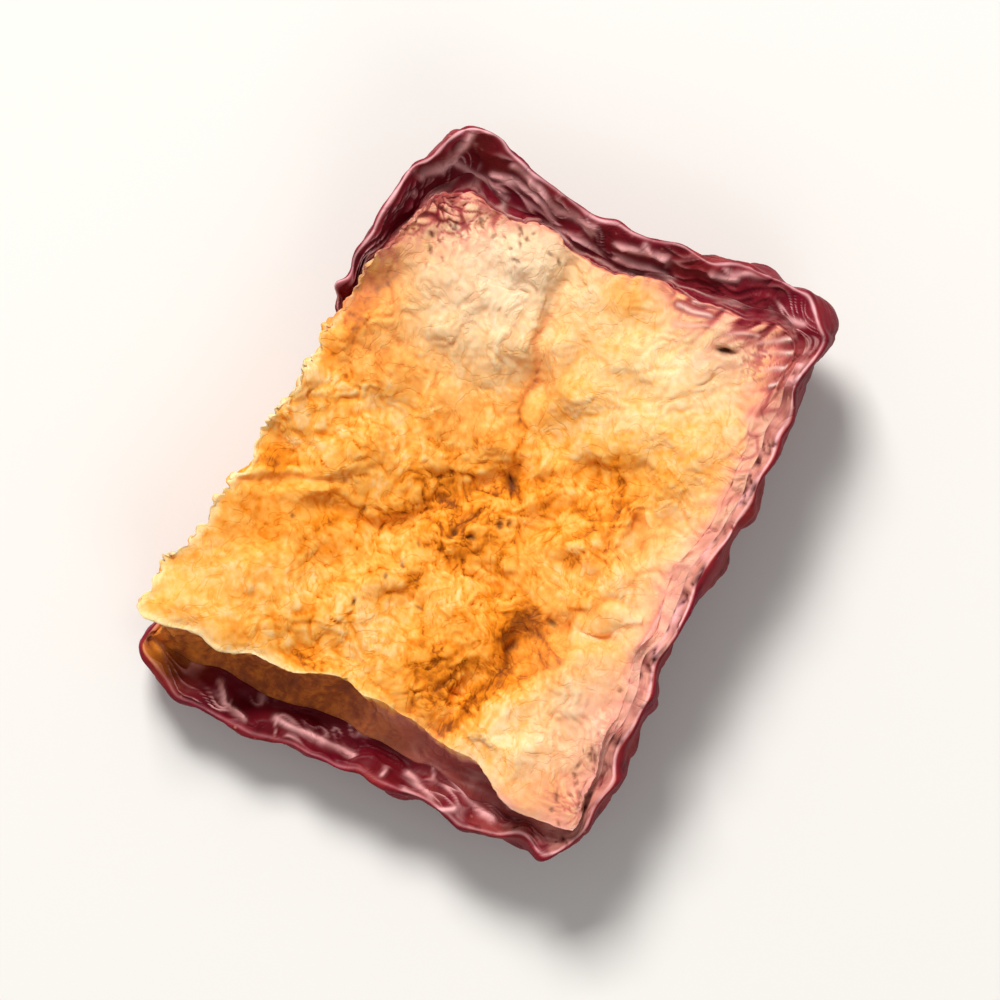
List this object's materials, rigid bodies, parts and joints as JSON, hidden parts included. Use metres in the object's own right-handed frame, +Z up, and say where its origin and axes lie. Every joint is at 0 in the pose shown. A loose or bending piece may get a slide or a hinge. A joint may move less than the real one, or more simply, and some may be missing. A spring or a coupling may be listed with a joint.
{
  "type": "dried apple piece",
  "caption": "Dried apple dice: a squarish crumpled piece of golden flesh sitting in its own red peel, whose edges have curled up round it.",
  "frame": {"origin": "on the surface that the piece rests on, under the middle of its footprint", "axes": "+X along the longer side, towards the end where the peel curls up highest; +Y across, towards the side where the cut flesh overhangs the peel; +Z up, out of the flesh"},
  "size_m": [0.0182, 0.0134, 0.0045],
  "materials": {
    "apple_flesh": "leathery, matt",
    "apple_peel": "wrinkled, satin"
  },
  "bodies": {
    "root": {"apple_piece": "apple_flesh"}
  },
  "joints": []
}
